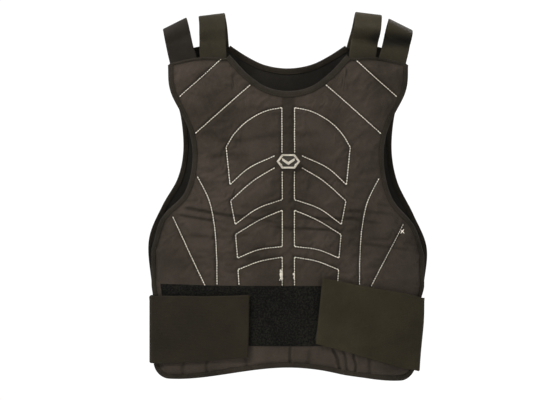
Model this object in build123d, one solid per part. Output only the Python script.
from build123d import *

import math
import os
from collections import namedtuple

# Padded chest protector vest, hung by its shoulder straps. Millimetres.
# X runs across the vest as seen from the front, -Y faces forward, +Z is up.
# The origin is the hanger seat: the middle of the vest, level with the strap tops.
# "left" and "right" name the sides as seen from the front (-X and +X).

# Driving dimensions of the padded panels
CHEST_HALF_WIDTH = 198.0        # half the width of a panel at the waist
HEM_CENTRE_Z = -508.0           # lowest point of the hem at the middle
HEM_DROP = 20.0                 # how much lower the hem hangs towards its corners
HEM_CORNER_RADIUS = 24.0
BOW_RADIUS = 435.0              # plan radius of a panel bent round the chest
BOW_RAMP = 120.0                # how far below the shoulders the bow has set in
BOW_POWER = 1.5
DEPTH_RAMP = 90.0               # how far below the shoulders the chest depth has set in
SHOULDER_RISE = 30.0            # the face runs on straight this far above the shoulder line
SHELL_THICKNESS = 1.2
FOAM_THICKNESS = 10.0
LINING_THICKNESS = 1.0
CLEARANCE = 0.1                 # free space left between touching cloth layers
BINDING_WIDTH = 10.0
BINDING_THICKNESS = 1.0
BINDING_CORNER = 6.0            # the side binding covers this much of the shoulder's outer end

# Driving dimensions of the elastic and the hook-and-loop
STRAP_WIDTH = 38.0
STRAP_THICKNESS = 2.4
STRAP_ARCH_RADIUS = 17.0        # centre line of the strap where it goes over a hanger
FLAP_WIDTH = 95.0
FLAP_THICKNESS = 2.4
LOOP_THICKNESS = 1.6
HOOK_THICKNESS = 1.3
SIDE_X = CHEST_HALF_WIDTH + 4.7  # centre line of the waist elastic at the side
SIDE_BEND_RADIUS = 10.0
FLAP_HINGE_Y = -11.0

# Where the shoulder straps stand: x at the seam, seam height, top height, lean in front and behind
Strap = namedtuple("Strap", "name seam_x seam_z top_z lean_front lean_rear")
STRAPS = [
    Strap("inner", 108.0, -65.0, 0.0, 5.5, 10.0),
    Strap("outer", 150.5, -69.0, -14.0, 17.5, 16.0),
]
STRAP_SEWN_LENGTH = 24.0        # strap end sewn flat inside the front panel
TAIL_TOP_Z = -78.0              # where the free tail starts on the back panel
TAIL_LENGTH = 56.0
SIDE_ELASTIC_SEAM_X = 128.0     # where the side elastic is sewn to the back panel

# Waist flaps: free end x, centre height at the free end and at the side
Flap = namedtuple("Flap", "name side end_x end_z side_z")
FLAPS = [
    Flap("left", -1, 56.0, -448.5, -457.5),
    Flap("right", 1, 45.0, -427.0, -463.0),
]
LOOP_PANEL_TOP = -392.0
LOOP_PANEL_BOTTOM = -479.0
LOOP_PANEL_LEFT = -184.0
LOOP_PANEL_RIGHT = 98.0         # it stops under the right flap

# Badge: a plain lozenge plate with two prongs and a washer behind the shell
BADGE_Z = -215.5
BADGE_WIDTH = 34.0
BADGE_HEIGHT = 21.0
BADGE_THICKNESS = 2.3
CHEVRON_WIDTH = 18.0
CHEVRON_THICKNESS = 0.8
PRONG_SPACING = 14.0
PRONG_RADIUS = 0.8
PRONG_LENGTH = 5.4
WASHER_WIDTH = 26.0
WASHER_HEIGHT = 12.0
WASHER_THICKNESS = 1.0

REACH = 400.0                   # longer than anything a prism has to pass through
SPAN = 215.0                    # half width of the layers before they are cut to the outline
ABOVE_SHOULDER = 24.0           # how far those layers run above the shoulder line
LOWEST_Z = -545.0               # and how low they run
PANEL_THICKNESS = SHELL_THICKNESS + FOAM_THICKNESS + LINING_THICKNESS + 2 * CLEARANCE

# A panel: which way it faces (-1 front, +1 back), its depth from the hanger plane at the top
# and lower down, and the points of half its outline in (x, z)
Panel = namedtuple("Panel", "name facing top_z top_depth chest_depth neck shoulder armhole")
FRONT = Panel(
    "front", -1, -65.0, 33.0, 66.0,
    neck=[(0, -114), (31, -108), (58, -89), (84, -61)],
    shoulder=[(84, -66), (127, -64.5), (168, -73)],
    armhole=[(171.5, -76), (165, -118), (142, -172), (137, -212), (149, -262), (183, -301),
             (CHEST_HALF_WIDTH, -345)],
)
BACK = Panel(
    "back", 1, -46.0, 15.5, 62.0,
    neck=[(0, -76), (34, -71), (60, -59), (84, -44)],
    shoulder=[(84, -46), (128, -45), (168, -56)],
    armhole=[(171, -59), (168, -95), (157, -148), (154, -200), (162, -240), (184, -283),
             (CHEST_HALF_WIDTH + 5, -332), (CHEST_HALF_WIDTH + 0.5, -400)],
)

nodes = {}


def save(name, solid):
    """Keep one named piece to be written at the end."""
    nodes[name] = solid


def surface_y(panel, x, z):
    """Y of a panel's outer face: deeper below the shoulders, and bowed round the chest."""
    drop = max(panel.top_z + SHOULDER_RISE - z, 0.0) - SHOULDER_RISE
    depth = panel.chest_depth - (panel.chest_depth - panel.top_depth) * math.exp(-drop / DEPTH_RAMP)
    bowed = 1.0 - math.exp(-((max(drop, 0.0) / BOW_RAMP) ** BOW_POWER))
    sag = BOW_RADIUS - math.sqrt(BOW_RADIUS**2 - x**2)
    return panel.facing * (depth - bowed * sag)


def slab(panel, start, end):
    """Solid layer that follows a panel's outer face, from start to end millimetres inside it."""
    top = panel.top_z + ABOVE_SHOULDER
    columns = 13
    rows = 15
    points = []
    for i in range(columns):
        x = -SPAN + 2 * SPAN * i / (columns - 1)
        column = []
        for j in range(rows):
            z = top - (top - LOWEST_Z) * j / (rows - 1)
            column.append((x, surface_y(panel, x, z) - panel.facing * start, z))
        points.append(column)
    face = Face.make_surface_from_array_of_points(points)
    return Solid.extrude(face, Vector(0, -panel.facing * (end - start), 0))


def prism(flat):
    """Extrude a sketch drawn in (x, z) along the whole Y range."""
    return extrude(Plane.XZ * flat, amount=REACH, both=True)


def polygon(*points):
    """A flat face through points given as (x, z)."""
    return make_face(Polyline(*points, close=True))


def rectangle(x0, x1, z0, z1):
    return polygon((x0, z0), (x1, z0), (x1, z1), (x0, z1))


def outline(panel):
    """Closed outline of a panel, as a flat face in (x, z)."""
    waist = panel.armhole[-1]
    corner_z = HEM_CENTRE_Z - HEM_DROP
    corner_x = waist[0] - HEM_CORNER_RADIUS
    neck = Spline(*panel.neck, tangents=[(1, 0), (1, 1.1)])
    shoulder = ThreePointArc(*panel.shoulder)
    armhole = Spline(*panel.armhole, tangents=[(0.3, -1), (0, -1)])
    side = Line(waist, (waist[0], corner_z + HEM_CORNER_RADIUS))
    corner = RadiusArc(side @ 1, (corner_x, corner_z), HEM_CORNER_RADIUS)
    hem = Spline(corner @ 1, (0, HEM_CENTRE_Z), tangents=[(-1, 0), (-1, 0)])
    joins = [Line(neck @ 1, shoulder @ 0), Line(shoulder @ 1, armhole @ 0)]
    half = Curve() + [neck, shoulder, armhole, side, corner, hem] + joins
    return make_face((half + mirror(half, about=Plane.YZ)).edges())


def inset(flat, amount):
    """The same outline drawn in by an amount, its curves made again as splines."""
    curves = []
    for edge in offset(flat, amount=-amount).edges():
        if edge.geom_type == GeomType.LINE:
            curves.append(Line(edge @ 0, edge @ 1))
            continue
        count = max(3, int(edge.length / 18.0) + 1)
        points = [edge @ (i / (count - 1)) for i in range(count)]
        curves.append(Spline(*points, tangents=[edge % 0, edge % 1]))
    return make_face(curves)


def build_panel(panel):
    """Shell, foam, lining and the binding tape of one padded panel."""
    flat = outline(panel)
    cloth = prism(inset(flat, BINDING_THICKNESS + CLEARANCE))
    foam_front = SHELL_THICKNESS + CLEARANCE
    foam_back = foam_front + FOAM_THICKNESS
    lining_front = foam_back + CLEARANCE
    shell = slab(panel, 0, SHELL_THICKNESS) & cloth
    foam = slab(panel, foam_front, foam_back) & cloth
    lining = slab(panel, lining_front, PANEL_THICKNESS) & cloth

    ring = prism(flat) - prism(inset(flat, BINDING_WIDTH))
    tape_out = BINDING_THICKNESS + CLEARANCE
    tape = slab(panel, -tape_out, PANEL_THICKNESS + tape_out) & ring
    hollow = slab(panel, -CLEARANCE, PANEL_THICKNESS + CLEARANCE)
    tape = tape - (hollow & prism(inset(flat, BINDING_THICKNESS)))

    seam_x = panel.shoulder[0][0]
    corner_x = panel.shoulder[-1][0] - BINDING_CORNER
    seam_low = panel.shoulder[-1][1] - BINDING_WIDTH - 1.5
    neck_low = panel.neck[0][1] - 4 * BINDING_WIDTH
    hem_z = HEM_CENTRE_Z + BINDING_WIDTH + 4.0
    inner_x = CHEST_HALF_WIDTH / 2
    gap = CLEARANCE / 2
    top = panel.top_z + ABOVE_SHOULDER
    save(f"{panel.name}_neck_binding", tape & prism(rectangle(-seam_x + gap, seam_x - gap, neck_low, top)))
    save(f"{panel.name}_hem_binding", tape & prism(rectangle(-SPAN, SPAN, LOWEST_Z, hem_z - gap)))
    for name, side in (("left", -1), ("right", 1)):
        seam = rectangle(side * (seam_x + gap), side * (corner_x - gap), seam_low, top)
        save(f"{panel.name}_shoulder_seam_{name}", tape & prism(seam))
        edge = rectangle(side * inner_x, side * SPAN, hem_z + gap, seam_low - gap)
        edge += rectangle(side * (corner_x + gap), side * SPAN, seam_low - 1, top)
        save(f"{panel.name}_side_binding_{name}", tape & prism(edge))
    return shell, foam, lining


def build_badge(shell, foam):
    """Badge plate with prongs, its washer, and the holes they need."""
    half_w = BADGE_WIDTH / 2
    half_h = BADGE_HEIGHT / 2
    lozenge = polygon(
        (-half_w, BADGE_Z), (-half_w * 0.55, BADGE_Z + half_h), (half_w * 0.55, BADGE_Z + half_h),
        (half_w, BADGE_Z), (half_w * 0.55, BADGE_Z - half_h), (-half_w * 0.55, BADGE_Z - half_h),
    )
    arm = CHEVRON_WIDTH / 2
    chevron = polygon(
        (-arm, BADGE_Z + 3), (0, BADGE_Z - 3), (arm, BADGE_Z + 3),
        (arm, BADGE_Z - 1), (0, BADGE_Z - 7), (-arm, BADGE_Z - 1),
    )
    plate_out = CLEARANCE + BADGE_THICKNESS
    plate = slab(FRONT, -plate_out, -CLEARANCE) & prism(lozenge)
    plate += slab(FRONT, -plate_out - CHEVRON_THICKNESS, -plate_out) & prism(chevron)
    washer_front = SHELL_THICKNESS + 2 * CLEARANCE
    washer_back = washer_front + WASHER_THICKNESS
    washer_w = WASHER_WIDTH / 2
    washer_h = WASHER_HEIGHT / 2
    washer_flat = rectangle(-washer_w, washer_w, BADGE_Z - washer_h, BADGE_Z + washer_h)
    washer = slab(FRONT, washer_front, washer_back) & prism(washer_flat)
    pocket = rectangle(-washer_w - 1, washer_w + 1, BADGE_Z - washer_h - 1, BADGE_Z + washer_h + 1)
    foam = foam - (slab(FRONT, SHELL_THICKNESS, washer_back + 1.5) & prism(pocket))
    face_y = surface_y(FRONT, 0, BADGE_Z)
    for side in (-1, 1):
        centre = Pos(side * PRONG_SPACING / 2, face_y, BADGE_Z) * Rot(90, 0, 0)
        plate += centre * Pos(0, 0, -1.1) * Cylinder(PRONG_RADIUS, PRONG_LENGTH)
        hole = centre * Cylinder(PRONG_RADIUS + 0.2, 4 * PRONG_LENGTH)
        shell = shell - hole
        washer = washer - hole
    save("badge_plate", plate)
    save("badge_washer", washer)
    return shell, foam


def strap_plane(strap, side, lean):
    """Plane of a strap's centre line: local x is +Y, local y runs up the leaning strap."""
    lean_rad = math.radians(lean)
    up = Vector(side * math.sin(lean_rad), 0, math.cos(lean_rad))
    across = Vector(0, 1, 0).cross(up)
    return Plane(origin=(side * strap.seam_x, 0, strap.seam_z), x_dir=(0, 1, 0), z_dir=across)


def strap_top(strap, side):
    """Point on the centre line at the top of the arch, reached along the front leg."""
    rise = strap.top_z - STRAP_THICKNESS / 2 - strap.seam_z
    lean = math.tan(math.radians(strap.lean_front))
    return Vector(side * (strap.seam_x + rise * lean), 0, strap.top_z - STRAP_THICKNESS / 2)


def build_front_strap(strap, side, name):
    """Front half: sewn end inside the panel, leg, and the first quarter of the arch."""
    rise = (strap.top_z - STRAP_THICKNESS / 2 - strap.seam_z) / math.cos(math.radians(strap.lean_front))
    radius = STRAP_ARCH_RADIUS
    seam_y = -(FRONT.top_depth - PANEL_THICKNESS) + BINDING_THICKNESS + STRAP_THICKNESS / 2 + 0.9
    sewn_y = surface_y(FRONT, strap.seam_x, strap.seam_z - STRAP_SEWN_LENGTH) + PANEL_THICKNESS
    sewn_y += BINDING_THICKNESS + STRAP_THICKNESS / 2 + 1.0
    leg = Polyline((sewn_y, -STRAP_SEWN_LENGTH), (seam_y, 0), (-radius, rise - radius))
    arch = CenterArc((0, rise - radius), radius, 90, 90)
    flat = trace(Wire(leg.edges() + arch.edges()), line_width=STRAP_THICKNESS)
    plane = strap_plane(strap, side, strap.lean_front)
    solid = extrude(plane * flat, amount=STRAP_WIDTH / 2, both=True)
    keep = Pos(0, -REACH / 2 - CLEARANCE / 2, 0) * Box(REACH * 2, REACH, REACH * 2)
    save(f"shoulder_strap_front_{strap.name}_{name}", solid & keep)


def build_rear_strap(strap, side, name):
    """Rear half of the arch and the lap on the back panel, then the tail with its hook patch."""
    top = strap_top(strap, side)
    lean_rad = math.radians(strap.lean_rear)
    up = Vector(side * math.sin(lean_rad), 0, math.cos(lean_rad))
    across = Vector(0, 1, 0).cross(up)
    plane = Plane(origin=top, x_dir=(0, 1, 0), z_dir=across)
    radius = STRAP_ARCH_RADIUS
    tape_out = BINDING_THICKNESS + CLEARANCE
    split = (top.Z - TAIL_TOP_Z) / math.cos(lean_rad)
    edge = (top.Z - BACK.top_z - 2.0) / math.cos(lean_rad)
    middle = (edge + split) / 2
    stack = CLEARANCE * 3 + LOOP_THICKNESS + HOOK_THICKNESS + STRAP_THICKNESS / 2

    def lap_y(length, offset_out):
        x = top.X - up.X * length
        return surface_y(BACK, x, top.Z - up.Z * length) + offset_out

    # A leaning strap crosses the deepening face at a slant, so it stands off it a little more
    slant = STRAP_WIDTH / 2 * abs(up.X) / 2
    edge_y = BACK.top_depth + tape_out + STRAP_THICKNESS / 2 + slant
    points = [
        (radius, -radius),
        (max(edge_y, radius), -edge),
        (lap_y(middle, stack + slant / 2), -middle),
        (lap_y(split, stack), -split),
    ]
    leg = Polyline(*points)
    arch = CenterArc((0, -radius), radius, 0, 90)
    flat = trace(Wire(leg.edges() + arch.edges()), line_width=STRAP_THICKNESS)
    solid = extrude(plane * flat, amount=STRAP_WIDTH / 2, both=True)
    keep = Pos(0, REACH / 2 + CLEARANCE / 2, 0) * Box(REACH * 2, REACH, REACH * 2)
    cut = plane * Pos(0, -split - REACH / 2 + CLEARANCE / 2, 0) * Box(REACH, REACH, REACH)
    save(f"shoulder_strap_rear_{strap.name}_{name}", (solid & keep) - cut)

    def lap_rectangle(width, start, end):
        """Rectangle on the back panel along the strap, between two lengths from its top."""
        corners = []
        for w, length in ((-width / 2, start), (width / 2, start), (width / 2, end), (-width / 2, end)):
            centre = top - up * length
            corners.append((centre.X + across.X * w, centre.Z + across.Z * w))
        return polygon(*corners)

    tail_in = CLEARANCE * 3 + LOOP_THICKNESS + HOOK_THICKNESS
    tail_flat = lap_rectangle(STRAP_WIDTH, split + CLEARANCE / 2, split + TAIL_LENGTH)
    tail = slab(BACK, -tail_in - STRAP_THICKNESS, -tail_in) & prism(tail_flat)
    save(f"shoulder_tail_{strap.name}_{name}", tail)
    hook_flat = lap_rectangle(STRAP_WIDTH - 4, split + 8, split + TAIL_LENGTH - 3)
    hook_in = CLEARANCE * 2 + LOOP_THICKNESS
    hook = slab(BACK, -hook_in - HOOK_THICKNESS, -hook_in) & prism(hook_flat)
    save(f"shoulder_tail_hook_{strap.name}_{name}", hook)
    hinge = top - up * split
    near = [v for v in tail.vertices() if abs((Vector(*v.center()) - top).dot(up) + split) < 1.0]
    hinge_y = max(v.Y for v in near)
    print(f"tail hinge {strap.name} {name}: {hinge.X:.2f} {hinge_y:.2f} {hinge.Z:.2f}"
          f" axis {across.X:.4f} {across.Z:.4f}")


def build_shoulder_loop(side, name):
    """Loop patch on the back panel that the two tails of one shoulder hold on to."""
    flat = polygon(
        (side * 78, TAIL_TOP_Z - 2), (side * 156, TAIL_TOP_Z - 2),
        (side * 145, TAIL_TOP_Z - 60), (side * 68, TAIL_TOP_Z - 60),
    )
    save(f"shoulder_loop_patch_{name}", slab(BACK, -CLEARANCE - LOOP_THICKNESS, -CLEARANCE) & prism(flat))


def waist_profile(panel, offset_out, end_x):
    """Centre line in plan of the waist elastic, from end_x on a panel to the middle of the side."""
    sign = panel.facing
    radius = BOW_RADIUS + offset_out
    centre_y = sign * (panel.chest_depth - BOW_RADIUS)
    bend = SIDE_BEND_RADIUS
    # The bend touches the circle of the panel from inside and the side line x = SIDE_X
    bend_x = SIDE_X - bend
    bend_y = centre_y + sign * math.sqrt((radius - bend) ** 2 - bend_x**2)
    angle = math.atan2(abs(bend_y - centre_y), bend_x)
    touch = (bend_x + bend * math.cos(angle), bend_y + sign * bend * math.sin(angle))
    start_angle = math.acos(end_x / radius)
    start = (end_x, centre_y + sign * radius * math.sin(start_angle))
    middle_angle = (start_angle + angle) / 2
    middle = (radius * math.cos(middle_angle), centre_y + sign * radius * math.sin(middle_angle))
    around = ThreePointArc(start, middle, touch)
    half_turn = angle / 2
    mid_bend = (bend_x + bend * math.cos(half_turn), bend_y + sign * bend * math.sin(half_turn))
    corner = ThreePointArc(touch, mid_bend, (SIDE_X, bend_y))
    return around, corner


def tall_ribbon(edges, thickness):
    """A strap standing on edge: its plan centre line given thickness and a generous height."""
    flat = trace(Wire(edges), line_width=thickness)
    return Pos(0, 0, LOWEST_Z) * extrude(flat, amount=REACH / 2)


def build_waist_side(flap):
    """Flap on the front, its hook patch, and the elastic that goes round the side to the back."""
    side = flap.side
    half = FLAP_WIDTH / 2
    flap_out = LOOP_THICKNESS + HOOK_THICKNESS + 4 * CLEARANCE + FLAP_THICKNESS / 2 + 0.3
    around, corner = waist_profile(FRONT, flap_out, flap.end_x)
    line = Line(corner @ 1, (SIDE_X, FLAP_HINGE_Y - CLEARANCE / 2))
    front = tall_ribbon(around.edges() + corner.edges() + line.edges(), FLAP_THICKNESS)
    run = Vector(SIDE_X - flap.end_x, 0, flap.side_z - flap.end_z).normalized()
    normal = Vector(-run.Z, 0, run.X) * half
    end = Vector(flap.end_x, 0, flap.end_z)
    far = Vector(SIDE_X, 0, flap.side_z) + run * 12
    flat = polygon(*[(p.X, p.Z) for p in (end - normal, far - normal, far + normal, end + normal)])
    front = front & prism(flat)
    hook_out = flap_out - FLAP_THICKNESS / 2 - CLEARANCE - HOOK_THICKNESS / 2
    hook_arc, _ = waist_profile(FRONT, hook_out, flap.end_x + 1.5)
    hook = tall_ribbon(hook_arc.edges(), HOOK_THICKNESS)
    hook_start = end + run * 2
    hook_end = end + run * 50
    small = normal * ((half - 3) / half)
    hook_flat = polygon(
        *[(p.X, p.Z) for p in (hook_start - small, hook_end - small, hook_end + small, hook_start + small)]
    )
    hook = hook & prism(hook_flat)

    back_out = BINDING_THICKNESS + CLEARANCE + 1.0 + FLAP_THICKNESS / 2
    around, corner = waist_profile(BACK, back_out, SIDE_ELASTIC_SEAM_X)
    line = Line(corner @ 1, (SIDE_X, FLAP_HINGE_Y + CLEARANCE / 2))
    elastic = tall_ribbon(around.edges() + corner.edges() + line.edges(), FLAP_THICKNESS)
    elastic = elastic & prism(rectangle(0, SPAN, flap.side_z - half, flap.side_z + half))
    if side < 0:
        front = mirror(front, about=Plane.YZ)
        hook = mirror(hook, about=Plane.YZ)
        elastic = mirror(elastic, about=Plane.YZ)
    save(f"waist_flap_{flap.name}", front)
    save(f"waist_flap_hook_{flap.name}", hook)
    save(f"side_elastic_{flap.name}", elastic)
    print(f"flap hinge {flap.name}: {side * (SIDE_X + FLAP_THICKNESS / 2):.2f} {FLAP_HINGE_Y:.2f} {flap.side_z:.2f}")


front_shell, front_foam, front_lining = build_panel(FRONT)
front_shell, front_foam = build_badge(front_shell, front_foam)
save("front_outer_shell", front_shell)
save("front_foam_pad", front_foam)
save("front_lining", front_lining)

back_shell, back_foam, back_lining = build_panel(BACK)
save("back_outer_shell", back_shell)
save("back_foam_pad", back_foam)
save("back_lining", back_lining)

loop_flat = rectangle(LOOP_PANEL_LEFT, LOOP_PANEL_RIGHT, LOOP_PANEL_BOTTOM, LOOP_PANEL_TOP)
save("waist_loop_panel", slab(FRONT, -CLEARANCE - LOOP_THICKNESS, -CLEARANCE) & prism(loop_flat))

for side_name, side_sign in (("left", -1), ("right", 1)):
    build_shoulder_loop(side_sign, side_name)
    for strap_size in STRAPS:
        build_front_strap(strap_size, side_sign, side_name)
        build_rear_strap(strap_size, side_sign, side_name)
for waist_flap in FLAPS:
    build_waist_side(waist_flap)

os.makedirs("parts", exist_ok=True)
for node_name, node_solid in nodes.items():
    export_step(node_solid, f"parts/{node_name}.step")
print(len(nodes), "nodes")
